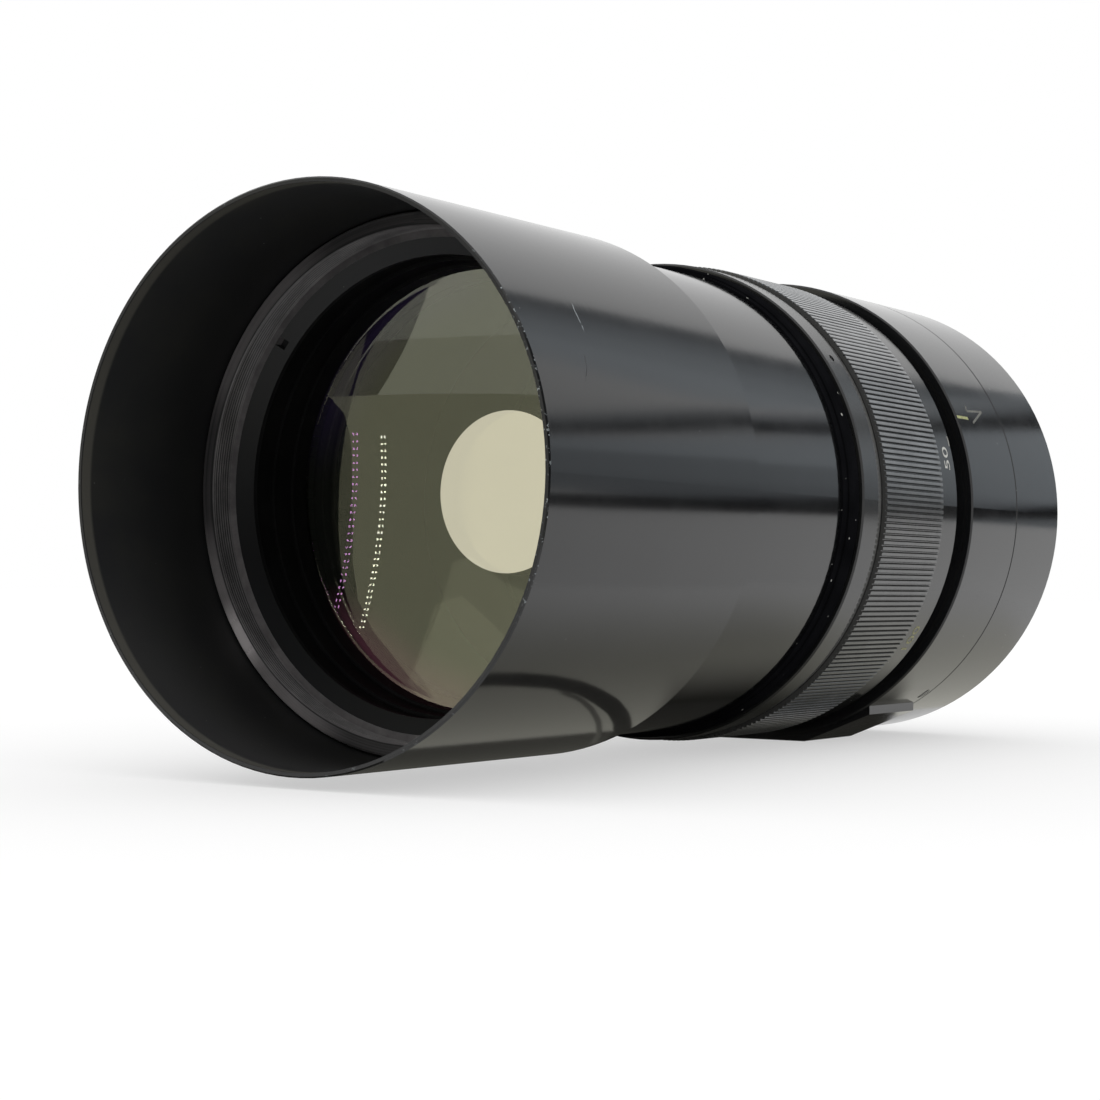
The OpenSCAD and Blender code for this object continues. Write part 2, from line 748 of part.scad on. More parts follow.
// Cell for the two rear lenses, threaded at its end for the rear filter
module rear_lens_cell() {
    seat = s_rear_cell + seat_lip;
    step_s = s_cone - hub_len;
    color("#171718")
    turned([[rear_clear, s_rear_cell], [rear_cell_r, s_rear_cell], [rear_cell_r, step_s], [hub_bore, step_s],
        [hub_bore, s_cone], [rear_filter_r, s_cone], [rear_filter_r, s_cone - rear_thread_len],
        [rear_lens_r, s_cone - rear_thread_len], [rear_lens_r, seat], [rear_clear, seat]]);
}

// A lens of the rear pair, with a flat edge and one domed face
module rear_lens(from, edge, side) {
    domed = sag(rear_curve, rear_clear);
    centre = side < 0 ? from + rear_curve - domed : from + edge + domed - rear_curve;
    on_axis() union() {
        translate([0, 0, from]) cylinder(r = rear_lens_r, h = edge);
        intersection() {
            translate([0, 0, from - (side < 0 ? domed : 0)]) cylinder(r = rear_clear, h = edge + domed);
            translate([0, 0, centre]) sphere(r = rear_curve);
        }
    }
}

module rear_lens_front() {
    color("#aab0a8", 0.35)
    rear_lens(s_lens_a, rear_lens_a, -1);
}

module rear_lens_spacer() {
    color("#1b1b1c")
    ring(rear_clear, rear_lens_r, s_spacer, s_lens_b);
}

module rear_lens_back() {
    color("#aab0a8", 0.35)
    rear_lens(s_lens_b, rear_lens_b, 1);
}

module rear_lock_ring() {
    color("#1b1b1c")
    ring(rear_clear, rear_lens_r, s_rear_lock, s_rear_lock + rear_lock);
}

// Screw-in filter ring with a knurl-free rim
module rear_filter_ring() {
    bore = rear_filter_r - rear_ring_wall;
    seat = s_cone + rear_rim_len / 2;
    color("#19191a")
    turned([[bore, s_cone - rear_thread_len], [rear_filter_r, s_cone - rear_thread_len], [rear_filter_r, s_cone],
        [rear_rim_r, s_cone], [rear_rim_r, s_cone + rear_rim_len], [rear_filter_r, s_cone + rear_rim_len],
        [rear_filter_r, seat], [bore, seat]]);
}

module rear_filter_glass() {
    color("#b6bab8", 0.35)
    on_axis() translate([0, 0, s_cone + rear_rim_len / 2]) cylinder(r = rear_filter_r, h = rear_glass);
}

// The mount screws' places, at the flange face and looking inwards
module mount_screw_places() {
    on_axis() for (i = [0:mount_screw_count - 1]) rotate([0, 0, i * 360 / mount_screw_count])
        translate([mount_screw_at, 0, s_flange]) rotate([180, 0, 0]) children();
}

// Flange, register tube and three lugs
module camera_mount() {
    bore = register_r - register_wall;
    lug_s = s_flange + lug_inset;
    color("#b4b4b6")
    union() {
        difference() {
            turned([[bore, s_cone], [flange_r, s_cone], [flange_r, s_flange - edge_bevel],
                [flange_r - edge_bevel, s_flange], [register_r, s_flange], [register_r, s_flange + register_len],
                [bore, s_flange + register_len]]);
            mount_screw_places() cylinder(r = mount_screw_r, h = flange_len + over);
            mount_screw_places() cylinder(r1 = mount_head_r, r2 = mount_screw_r, h = mount_head_r - mount_screw_r);
        }
        on_axis() for (turn = [0:120:240]) rotate([0, 0, turn]) rotate_extrude(angle = lug_angle)
            polygon([[register_r - register_wall / 2, lug_s], [register_r + lug_rise, lug_s],
                [register_r + lug_rise, lug_s + lug_len], [register_r - register_wall / 2, lug_s + lug_len]]);
    }
}

module mount_screws() {
    color("#8f8f92")
    mount_screw_places() difference() {
        union() {
            cylinder(r1 = mount_head_r, r2 = mount_screw_r, h = mount_head_r - mount_screw_r);
            cylinder(r = mount_screw_r, h = mount_screw_len);
        }
        for (turn = [0, 90]) rotate([0, 0, turn]) translate([-mount_screw_r, -slot_width / 4, -over])
            cube([2 * mount_screw_r, slot_width / 2, over + slot_depth]);
    }
}

hood();
hood_guide_ring();
hood_felt_band();
hood_stop_ring();
front_barrel();
filter_ring();
front_retainer();
corrector_cell();
corrector_glass();
secondary_spot();
secondary_shade();
corrector_lock_ring();
black_ring();
core_tube();
focus_grip();
scale_ring();
focus_sleeve();
focus_set_screws();
mirror_carriage();
primary_mirror();
mirror_clip_ring();
guide_pins();
baffle_tube();
recess_band();
rear_collar();
rear_shell();
rear_cone();
tripod_foot();
tripod_bush();
foot_screws();
collar_screws();
rear_lens_cell();
rear_lens_front();
rear_lens_spacer();
rear_lens_back();
rear_lock_ring();
rear_filter_ring();
rear_filter_glass();
camera_mount();
mount_screws();
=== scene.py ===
"""Looks of the mirror telephoto lens.

Each solid gets its finish, three solids are replaced with finer meshes, and painted marks and the stage are added.
"""

import math

import bmesh
import bpy
from mathutils import Matrix, Vector


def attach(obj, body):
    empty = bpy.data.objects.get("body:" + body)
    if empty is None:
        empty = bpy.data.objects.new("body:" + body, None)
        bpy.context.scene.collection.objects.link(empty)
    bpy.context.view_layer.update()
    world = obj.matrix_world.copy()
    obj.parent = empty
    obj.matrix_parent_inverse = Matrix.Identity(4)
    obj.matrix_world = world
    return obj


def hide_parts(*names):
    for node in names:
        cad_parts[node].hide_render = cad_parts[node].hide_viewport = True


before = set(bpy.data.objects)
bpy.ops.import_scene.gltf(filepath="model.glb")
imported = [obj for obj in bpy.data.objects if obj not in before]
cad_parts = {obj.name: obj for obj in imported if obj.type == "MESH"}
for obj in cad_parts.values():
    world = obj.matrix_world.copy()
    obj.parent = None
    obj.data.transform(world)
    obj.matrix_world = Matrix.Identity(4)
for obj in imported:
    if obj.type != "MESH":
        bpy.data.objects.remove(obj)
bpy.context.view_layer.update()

# A millimetre in metres and a metre in millimetres
MM, METRE = 0.001, 1000.0

# Sizes of the solids, in millimetres; places are counted from the front rim of the pulled-out hood
FOOT_MID = 208.3
AXIS_HEIGHT = 60.6
HOOD_R, HOOD_BORE = 58.5, 57.5
FILTER_RING_R, BARREL_FRONT = 57.2, 37.5
THREAD_R, FILTER_BORE, FILTER_DEPTH, FILTER_LEN = 54.0, 52.4, 5.8, 8.0
THREAD_PITCH, THREAD_DEPTH, FILTER_BEVEL = 0.75, 0.42, 0.3
RIB_R, SCALE_R, REAR_R = 58.5, 57.9, 59.7
S_NECK, S_GRIP, S_SCALE, S_RECESS, S_COLLAR = 142.6, 145.6, 178.3, 188.4, 193.8
GLASS_R, HOLLOW_R, S_SEAT, S_GLASS = 50.6, 48.3, 62.5, 70.781
FRONT_CURVE, GLASS_BACK_CURVE, S_GLASS_BACK = 145.0, 172.0, 78.281
SPOT_R, SPOT_LEN, SPOT_SINK = 18.5, 0.4, 0.08

# Steps of a turned mesh round the lens, and the angle in degrees from which an edge is sharp
TURN_STEPS, SHARP_EDGE = 360, 35.0

# Painted marks in millimetres: lift off the metal, half thickness, step along a line; a number's height, the share of
# the letter size that it takes, and its distance behind the knurl
PAINT_LIFT, PAINT_HALF, STRIP_STEP = 0.02, 0.012, 0.5
NUMBER_HEIGHT, NUMBER_SHARE, NUMBER_IN = 3.0, 0.69, 5.7

# The camera, fitted to the circles and edges of the lens in the photograph
CAMERA_LENS, CAMERA_SENSOR, CAMERA_CLIP = 76.56, 36.0, (0.01, 60.0)
CAMERA_AT = (0.28761, -0.56406, 0.03984)
CAMERA_RIGHT, CAMERA_UP = (0.84096, 0.54102, 0.00996), (0.0, -0.01840, 0.99983)

# Base colours, and the colours of the dust on them
SATIN_BASE = (0.0085, 0.0088, 0.0093)
FLAT_BASE = (0.0075, 0.0075, 0.0078)
CLEAR, FRONT_CLEAR, GLASS_DUST = (0.93, 0.95, 0.90), (0.97, 0.975, 0.94), (0.4, 0.4, 0.38)
SATIN_DUST, HOOD_DUST, RIB_DUST = (0.19, 0.19, 0.18), (0.24, 0.24, 0.22), (0.2, 0.2, 0.19)
BLACK, WHITE = (0.0, 0.0, 0.0), (1.0, 1.0, 1.0)

# Scale, detail and roughness of the smudges and the haze on satin metal, and scale and depth of its turning lines
SMUDGE, HAZE = (0.045, 4.0, 0.6), (0.6, 3.0, 0.6)
TURNING, TURNING_MM = 1.6, 0.008

# Scale and size of the dust specks on the glass, and the share of places that have one
GLASS_SPECKS = (0.30, 0.035, 0.16)


# --- camera -----------------------------------------------------------------

def make_camera():
    data = bpy.data.cameras.new("camera")
    data.sensor_width, data.lens = CAMERA_SENSOR, CAMERA_LENS
    data.clip_start, data.clip_end = CAMERA_CLIP
    camera = bpy.data.objects.new("camera", data)
    right, up = Vector(CAMERA_RIGHT), Vector(CAMERA_UP)
    back = right.cross(up).normalized()
    up = back.cross(right).normalized()
    turn = Matrix((right.normalized(), up, back)).transposed().to_4x4()
    camera.matrix_world = Matrix.Translation(CAMERA_AT) @ turn
    bpy.context.scene.collection.objects.link(camera)
    bpy.context.scene.camera = camera


make_camera()


# --- finishes ---------------------------------------------------------------

class Value:
    """A number socket that takes part in Python sums."""

    def __init__(self, finish, socket):
        self.finish, self.socket = finish, socket

    def _math(self, operation, *values):
        return self.finish.number("ShaderNodeMath", {"operation": operation}, dict(enumerate(values)))

    def __add__(self, other):
        return self._math("ADD", self, other)

    def __radd__(self, other):
        return self._math("ADD", other, self)

    def __sub__(self, other):
        return self._math("SUBTRACT", self, other)

    def __rsub__(self, other):
        return self._math("SUBTRACT", other, self)

    def __mul__(self, other):
        return self._math("MULTIPLY", self, other)

    def __rmul__(self, other):
        return self._math("MULTIPLY", other, self)

    def __neg__(self):
        return self._math("MULTIPLY", self, -1.0)

    def __abs__(self):
        return self._math("ABSOLUTE", self)

    def __gt__(self, other):
        return self._math("GREATER_THAN", self, other)

    def __lt__(self, other):
        return self._math("LESS_THAN", self, other)

    def most(self, other):
        return self._math("MAXIMUM", self, other)

    def root(self):
        return self._math("SQRT", self)

    def turn_from(self, other):
        return self._math("ARCTAN2", self, other)

    def rise(self, low, high):
        """0 below low and 1 above high, with a smooth step between; the other way round when low is the larger."""
        return self.finish.number(
            "ShaderNodeMapRange", {"interpolation_type": "SMOOTHSTEP"},
            {"Value": self, "From Min": low, "From Max": high, "To Min": 0.0, "To Max": 1.0}, "Result")

    def within(self, low, high, soft):
        """1 between low and high, 0 outside, with soft edges."""
        return self.rise(low - soft, low + soft) * self.rise(high + soft, high - soft)


class Finish:
    """A material under construction: the nodes, and the shader that they feed."""

    def __init__(self, name, **constants):
        self.material = bpy.data.materials.new(name)
        self.material.use_nodes = True
        self.tree = self.material.node_tree
        self.tree.nodes.clear()
        self.output = self.tree.nodes.new("ShaderNodeOutputMaterial")
        self.shader = self.tree.nodes.new("ShaderNodeBsdfPrincipled")
        self.tree.links.new(self.shader.outputs["BSDF"], self.output.inputs["Surface"])
        self.put(**constants)

    def feed(self, node, values):
        for key, value in values.items():
            target = node.inputs[key]
            if isinstance(value, Value):
                value = value.socket
            if isinstance(value, bpy.types.NodeSocket):
                self.tree.links.new(value, target)
            elif hasattr(target.default_value, "__len__") and len(target.default_value) == 4 and len(value) == 3:
                target.default_value = (*value, 1.0)
            else:
                target.default_value = value

    def node(self, kind, settings=None, values=None):
        """Any other node: its type, its settings, and the values or links of its sockets."""
        made = self.tree.nodes.new(kind)
        for key, value in (settings or {}).items():
            setattr(made, key, value)
        self.feed(made, values or {})
        return made

    def number(self, kind, settings=None, values=None, output=0):
        return Value(self, self.node(kind, settings, values).outputs[output])

    def put(self, **values):
        """Sets or links sockets of the shader, named with _ for each space."""
        self.feed(self.shader, {name.replace("_", " "): value for name, value in values.items()})

    def place(self):
        """The point in millimetres as seen along the lens: across, along from the hood's rim, up from the axis."""
        if not hasattr(self, "_place"):
            local = self.node("ShaderNodeTexCoord").outputs["Object"]
            split = self.node("ShaderNodeSeparateXYZ", values={0: local})
            x, y, z = (Value(self, split.outputs[i]) for i in range(3))
            across, along, up = x * METRE, y * METRE + FOOT_MID, z * METRE - AXIS_HEIGHT
            self._place = across, along, up
        return self._place

    def angle(self):
        """Degrees round the lens from straight down towards +X."""
        across, _, up = self.place()
        return across.turn_from(-up) * (180.0 / math.pi)

    def radius(self):
        across, _, up = self.place()
        return (across * across + up * up).root()

    def point(self):
        """The same point as a vector."""
        return self.node("ShaderNodeCombineXYZ", values=dict(enumerate(self.place()))).outputs[0]

    def noise(self, scale, detail=2.0, roughness=0.5, point=None):
        return self.number("ShaderNodeTexNoise", None, {
            "Vector": point or self.point(), "Scale": scale, "Detail": detail, "Roughness": roughness}, "Fac")

    def specks(self, scale, size, share):
        """Small round specks, one in a share of the cells."""
        cells = self.node("ShaderNodeTexVoronoi", None, {"Vector": self.point(), "Scale": scale})
        pick = self.node("ShaderNodeSeparateColor", values={0: cells.outputs["Color"]})
        near = Value(self, cells.outputs["Distance"])
        chance = Value(self, pick.outputs[0])
        reach = Value(self, pick.outputs[1]) * size + size * 0.3
        return (near < reach) * (chance > 1.0 - share)

    def turned_lines(self, scale):
        """Fine lines round the lens, as a cutting tool leaves them."""
        _, along, _ = self.place()
        at = self.node("ShaderNodeCombineXYZ", values={0: along, 1: self.radius(), 2: self.angle() * 0.002}).outputs[0]
        return self.noise(scale, 3.0, 0.7, at)

    def colours(self, share, low, high):
        """A colour between low and high."""
        mixed = self.node("ShaderNodeMix", {"data_type": "RGBA"}, {"Factor": share})
        for key, value in (("A", low), ("B", high)):
            target = [s for s in mixed.inputs if s.name == key and s.type == "RGBA"][0]
            if isinstance(value, bpy.types.NodeSocket):
                self.tree.links.new(value, target)
            else:
                target.default_value = (*value, 1.0)
        return [s for s in mixed.outputs if s.type == "RGBA"][0]

    def bump(self, height, depth_mm):
        """Height from 0 to 1 as a relief of that depth."""
        return self.node("ShaderNodeBump", None, {
            "Height": height, "Distance": depth_mm * MM, "Strength": 1.0}).outputs["Normal"]

    def scratch(self, angle_from, s_from, angle_to, s_to, width):
        """A thin line on a barrel from one place to another, both as degrees round and millimetres along."""
        _, along, _ = self.place()
        degree = math.pi / 180.0 * HOOD_R
        round_mm = self.angle() * degree
        ax, ay, bx, by = angle_from * degree, s_from, angle_to * degree, s_to
        span = math.hypot(bx - ax, by - ay)
        ux, uy = (bx - ax) / span, (by - ay) / span
        wobble = (self.noise(0.25, 2.0) - 0.5) * 1.6
        down = (round_mm - ax) * ux + (along - ay) * uy
        off = abs((round_mm - ax) * -uy + (along - ay) * ux + wobble)
        breaks = self.noise(1.1, 2.0).rise(0.36, 0.5)
        return down.within(0.0, span, 0.6) * off.rise(width, width * 0.4) * breaks


def satin_parts(f):
    """Smudges, haze and turning lines, as satin black metal shows them from close by."""
    return f.noise(*SMUDGE), f.noise(*HAZE), f.turned_lines(TURNING)


def satin_rough(gloss, smudge, haze):
    """How rough satin metal is under its smudges and its haze."""
    return gloss + (smudge - 0.5) * 0.07 + (haze - 0.5) * 0.03


def satin_black(name, base=SATIN_BASE, gloss=0.12, dust_share=0.10):
    """Smooth black anodised metal with faint turning lines, smudges and dust."""
    f = Finish(name, IOR=1.5)
    smudge, haze, lines = satin_parts(f)
    dust = f.specks(0.42, 0.05, dust_share) * 0.55
    colour = f.colours(smudge.rise(0.35, 0.75) * 0.6, base, tuple(c * 1.7 for c in base))
    colour = f.colours(dust, colour, SATIN_DUST)
    f.put(Base_Color=colour, Roughness=satin_rough(gloss, smudge, haze) + dust * 0.3,
          Normal=f.bump(lines * 0.6 + haze * 0.4, TURNING_MM))
    return f.material


def matte_black(name, base=FLAT_BASE, rough=0.62, dust_share=0.25, shine=0.5, dust_size=0.06,
                dust_tone=0.10):
    """Flat black paint that swallows light."""
    f = Finish(name, IOR=1.45, Specular_IOR_Level=shine)
    cloud = f.noise(0.05, 4.0, 0.65)
    grain = f.noise(4.0, 2.0, 0.6)
    dust = f.specks(0.35, dust_size, dust_share)
    colour = f.colours(cloud.rise(0.3, 0.8), base, tuple(c * 2.2 for c in base))
    colour = f.colours(dust, colour, (dust_tone, dust_tone, dust_tone * 0.94))
    f.put(Base_Color=colour, Roughness=rough + (cloud - 0.5) * 0.12, Normal=f.bump(grain, 0.02))
    return f.material


def hood_finish():
    """Satin outside, flat paint with painted light and shade inside, and a rim whose edge is rubbed to bare metal."""
    f = Finish("hood_satin_and_flat_black", IOR=1.5)
    _, along, up = f.place()
    radius = f.radius()
    outside = radius.rise(HOOD_R - 0.6, HOOD_R - 0.2)
    smudge, haze, lines = satin_parts(f)
    cloud = f.noise(0.04, 4.0, 0.65)
    dust = f.specks(0.40, 0.055, 0.16)
    rim = along.rise(0.45, 0.20) * radius.rise(HOOD_BORE - 0.1, HOOD_BORE + 0.1)
    right = f.angle().within(66.0, 128.0, 8.0)
    rub = f.noise(0.30, 4.0, 0.7)
    # A pale band inside the lip, just behind the rim, is painted light
    lip = along.rise(3.4, 2.4) * radius.rise(HOOD_BORE + 0.4, HOOD_BORE + 0.1) * along.rise(0.15, 0.5)
    chips = f.noise(1.1, 3.0, 0.6).rise(0.60, 0.66) * along.rise(0.9, 0.3) * right
    marks = f.scratch(124.7, 23.7, 118.8, 22.4, 0.14)
    dark_marks = f.scratch(113.2, 19.1, 107.9, 16.6, 0.14)
    satin = f.colours(smudge.rise(0.35, 0.75) * 0.6, SATIN_BASE, (0.014, 0.0145, 0.015))
    # The flat paint inside gets painted light low down by the rim, and painted shade deeper in towards the barrel
    flat = f.colours(cloud.rise(0.3, 0.75), (0.014, 0.0148, 0.0175), (0.024, 0.024, 0.022))
    flat = f.colours(up.rise(-5.0, -45.0) * along.rise(30.0, 6.0) * 0.7, flat, (0.038, 0.038, 0.040))
    flat = f.colours(along.rise(4.0, BARREL_FRONT + 0.5) * 0.7, flat, (0.0040, 0.0042, 0.0048))
    colour = f.colours(outside, flat, satin)
    colour = f.colours(dust * (0.7 - outside * 0.35), colour, HOOD_DUST)
    # Painted light on the band inside the lip
    colour = f.colours(lip * 0.6, colour, (0.13, 0.125, 0.105))
    bare = (rim * rub.rise(0.60, 0.74) * 0.5).most(chips * rim).most(marks)
    colour = f.colours(dark_marks, colour, (0.002, 0.002, 0.003))
    colour = f.colours(bare, colour, (0.40, 0.44, 0.45))
    inside_rough = 0.60 + (cloud - 0.5) * 0.12
    outside_rough = satin_rough(0.12, smudge, haze) + dark_marks * 0.4
    rough = inside_rough * (1.0 - outside) + outside_rough * outside + bare * 0.1
    f.put(Base_Color=colour, Roughness=rough, Metallic=bare * 0.5,
          Normal=f.bump(lines * 0.6 + haze * 0.4 - marks * 0.8, TURNING_MM))
    return f.material


def worn_thread_painted_glints():
    """Blackened metal with a bare turned front face, slightly rubbed crests, and painted glints on the face."""
    f = Finish("worn_filter_thread_painted_glints", IOR=1.5)
    rub = f.noise(0.12, 4.0, 0.7)
    _, along, _ = f.place()
    crest = f.radius().rise(THREAD_R + THREAD_DEPTH * 0.75, THREAD_R + 0.02) * (rub.rise(0.3, 0.8) * 0.15 + 0.12)
    face = along.rise(BARREL_FRONT + 0.2, BARREL_FRONT + 0.05) * f.radius().rise(THREAD_R + 0.35, THREAD_R + 0.6)
    lines = f.turned_lines(3.0)
    angle = f.angle()
    # Painted glints: the front face is brighter in sectors round the ring
    painted_glints = (angle.within(-150.0, -112.0, 10.0) * 0.22 + angle.within(-76.0, -24.0, 9.0) * 0.32
             + angle.within(-60.0, -49.0, 5.0) * 0.9)
    # The bare face, the rubbed crests and the painted glints together
    bright = (face * (painted_glints * (rub.rise(0.2, 0.8) * 0.3 + 0.7) + 0.04 + (lines - 0.5) * 0.25)).most(crest)
    colour = f.colours(bright, (0.010, 0.010, 0.011), (0.68, 0.64, 0.64))
    f.put(Base_Color=colour, Metallic=bright.rise(0.05, 0.4) * 0.35,
          Roughness=0.36 - bright * 0.10 + (rub - 0.5) * 0.1, Normal=f.bump(lines, 0.02))
    return f.material


def knurl_finish():
    """Black ribs with grime in the grooves and rubbed crests; painted light pales the upper crests and the neck."""
    f = Finish("knurled_black", IOR=1.5)
    _, along, _ = f.place()
    radius = f.radius()
    ribs, neck_and_ribs, neck, edge = (along.within(low, high, 0.05) for low, high in (
        (S_GRIP, S_SCALE), (S_NECK, S_SCALE), (S_NECK, S_GRIP - 0.9), (S_GRIP - 0.1, S_GRIP + 0.1)))
    crest = radius.rise(RIB_R - 0.25, RIB_R - 0.02) * ribs
    rub = f.noise(0.09, 4.0, 0.7)
    smudge = f.noise(0.05, 4.0, 0.6)
    dust = f.specks(0.8, 0.06, 0.14) * 0.6
    colour = f.colours(smudge.rise(0.3, 0.75), (0.0085, 0.0088, 0.0092), (0.017, 0.0172, 0.0165))
    colour = f.colours(neck_and_ribs * 0.8, colour, (0.026, 0.026, 0.025))
    # The neck is painted paler than the black metal: painted light standing in for the sheen it shows
    colour = f.colours(neck, colour, (0.10, 0.10, 0.097))
    colour = f.colours(edge, colour, (0.07, 0.07, 0.068))
    # The crests are rubbed all round; painted light makes them paler from the side upwards
    crest_colour_lit_above = f.colours(f.angle().rise(84.0, 112.0), (0.105, 0.108, 0.108), (0.30, 0.31, 0.32))
    colour = f.colours(crest * (rub.rise(0.35, 0.75) * 0.3 + 0.6), colour, crest_colour_lit_above)
    colour = f.colours(dust, colour, RIB_DUST)
    f.put(Base_Color=colour, Roughness=0.20 + (smudge - 0.5) * 0.08, Normal=f.bump(f.turned_lines(2.2), TURNING_MM))
    return f.material


def rear_glass():
    """Clear polished glass with a coating that gives its reflection a violet tint."""
    f = Finish("coated_rear_glass", Transmission_Weight=1.0, IOR=1.52, Specular_Tint=(0.7, 0.6, 0.9, 1.0))
    wipe = f.noise(0.10, 4.0, 0.7)
    f.put(Base_Color=f.colours(f.specks(*GLASS_SPECKS) * 0.5, CLEAR, GLASS_DUST),
          Roughness=wipe.rise(0.66, 0.9) * 0.03, Normal=f.bump(wipe, 0.0001))
    return f.material


def front_glass():
    """The front glass; a painted reflection glows violet towards its upper edge and magenta towards its lower one."""
    f = Finish("coated_front_glass", Transmission_Weight=1.0, IOR=1.80, Specular_Tint=(0.86, 0.88, 0.66, 1.0),
               Emission_Strength=1.0)
    across, _, up = f.place()
    # Painted reflection: the coating's tints near one side of the rim are a glow of the material's own
    edge = f.radius().rise(38.0, 47.0) * across.rise(4.0, -10.0)
    painted_reflection_glow = f.colours(edge * up.rise(2.0, 26.0), BLACK, (0.0018, 0.0010, 0.0044))
    painted_reflection_glow = f.colours(edge * up.rise(-20.0, -36.0), painted_reflection_glow, (0.016, 0.005, 0.008))
    f.put(Base_Color=f.colours(f.specks(*GLASS_SPECKS) * 0.5, FRONT_CLEAR, GLASS_DUST), Emission_Color=painted_reflection_glow,
          Roughness=f.noise(0.10, 4.0, 0.7).rise(0.7, 0.9) * 0.02)
    return f.material


def silvered(name, tint):
    """Front-silvered mirror."""
    f = Finish(name, Metallic=1.0)
    haze = f.noise(0.08, 3.0, 0.6)
    f.put(Base_Color=f.colours(haze.rise(0.3, 0.8) * 0.25, tint, tuple(c * 0.93 for c in tint)),
          Roughness=0.025 + haze * 0.02)
    return f.material


def bright_metal(name, colour, rough, scale=2.0, depth=0.01):
    """Turned bare metal."""
    f = Finish(name, Metallic=1.0)
    lines = f.turned_lines(scale)
    tarnish = f.noise(0.2, 4.0, 0.6)
    f.put(Base_Color=f.colours(tarnish.rise(0.4, 0.8) * 0.5, colour, tuple(c * 0.72 for c in colour)),
          Roughness=rough + (tarnish - 0.5) * 0.15, Normal=f.bump(lines, depth))
    return f.material


def felt():
    """Black felt with loose fibres."""
    f = Finish("black_felt", Sheen_Weight=0.25, Sheen_Roughness=0.5)
    fibre = f.noise(5.0, 4.0, 0.8)
    f.put(Base_Color=f.colours(fibre, (0.006, 0.006, 0.006), (0.02, 0.02, 0.02)), Roughness=0.95,
          Normal=f.bump(fibre, 0.15))
    return f.material


def paint(name, colour):
    """Filled engraving, worn thin in places."""
    f = Finish(name, IOR=1.5)
    wear = f.noise(1.2, 3.0, 0.7)
    f.put(Base_Color=f.colours(wear.rise(0.48, 0.72) * 0.6, colour, tuple(c * 0.25 for c in colour)),
          Roughness=0.55 + (wear - 0.5) * 0.2, Normal=f.bump(f.noise(3.0), 0.01))
    return f.material


SATIN = satin_black("satin_black")
REAR_SATIN = satin_black("satin_black_rear")
BAND_SATIN = satin_black("satin_black_bands", base=(0.0105, 0.0106, 0.0105), gloss=0.14, dust_share=0.14)
DULL = satin_black("dull_black_retainer", base=(0.0040, 0.0045, 0.0058), gloss=0.50)
MATTE = matte_black("flat_black")
CELL = matte_black("flat_black_steps", base=(0.0040, 0.0040, 0.0043), rough=0.5, dust_share=0.05, shine=0.2)
BLACK_RING = matte_black("flat_black_dusty_ring", base=(0.0042, 0.0043, 0.0050), rough=0.55,
                         dust_share=0.5, shine=0.0, dust_size=0.11, dust_tone=0.45)
# The recess band's flat black is darker than the rest, as painted shade in the recess
RECESS_SHADE_BLACK = matte_black("flat_black_recess", base=(0.0015, 0.0016, 0.002), rough=0.5, dust_share=0.02, shine=0.15)
STEEL = bright_metal("blackened_steel", (0.16, 0.16, 0.165), 0.35)
BUSH_STEEL = bright_metal("plain_steel", (0.46, 0.46, 0.45), 0.32)
CHROME = bright_metal("bright_chrome", (0.72, 0.72, 0.74), 0.18, scale=3.0, depth=0.006)
BRASS = bright_metal("turned_brass", (0.62, 0.48, 0.22), 0.3)
GLASS = front_glass()
REAR_GLASS = rear_glass()
SILVER = silvered("silvered_mirror", (0.86, 0.86, 0.80))
SPOT_SILVER = silvered("silvered_spot", (1.0, 0.96, 0.83))
WHITE_PAINT = paint("white_fill", (0.62, 0.62, 0.58))
WORN_WHITE = paint("worn_white_fill", (0.34, 0.34, 0.31))
YELLOW_PAINT = paint("yellow_fill", (0.78, 0.80, 0.42))
FADED_YELLOW = paint("faded_yellow_fill", (0.34, 0.33, 0.16))

# The finish of each solid, by its name
COVER = {
    "hood": hood_finish(),
    "hood_guide_ring": MATTE,
    "hood_felt_band": felt(),
    "hood_stop_ring": STEEL,
    "front_barrel": SATIN,
    "front_retainer": DULL,
    "corrector_cell": CELL,
    "corrector_glass": GLASS,
    "secondary_shade": MATTE,
    "corrector_lock_ring": MATTE,
    "black_ring": BLACK_RING,
    "core_tube": MATTE,
    "focus_grip": knurl_finish(),
    "scale_ring": BAND_SATIN,
    "focus_sleeve": BRASS,
    "focus_set_screws": STEEL,
    "mirror_carriage": MATTE,
    "primary_mirror": SILVER,
    "mirror_clip_ring": MATTE,
    "guide_pins": BRASS,
    "baffle_tube": MATTE,
    "recess_band": RECESS_SHADE_BLACK,
    "rear_collar": REAR_SATIN,
    "rear_shell": REAR_SATIN,
    "rear_cone": REAR_SATIN,
    "tripod_foot": REAR_SATIN,
    "tripod_bush": BUSH_STEEL,
    "foot_screws": STEEL,
    "collar_screws": STEEL,
    "rear_lens_cell": MATTE,
    "rear_lens_front": REAR_GLASS,
    "rear_lens_spacer": MATTE,
    "rear_lens_back": REAR_GLASS,
    "rear_lock_ring": MATTE,
    "rear_filter_ring": MATTE,
    "rear_filter_glass": REAR_GLASS,
    "camera_mount": CHROME,
    "mount_screws": BUSH_STEEL,
}

for node_name, material in COVER.items():
    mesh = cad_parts[node_name].data
    mesh.materials.clear()
    mesh.materials.append(material)


# --- pieces -----------------------------------------------------------------

def on_lens(radius, angle, s):
    """World point on the lens: millimetres from the axis, degrees from straight down towards +X, place along."""
    a = math.radians(angle)
    return Vector((radius * math.sin(a) * MM, (s - FOOT_MID) * MM, (AXIS_HEIGHT - radius * math.cos(a)) * MM))


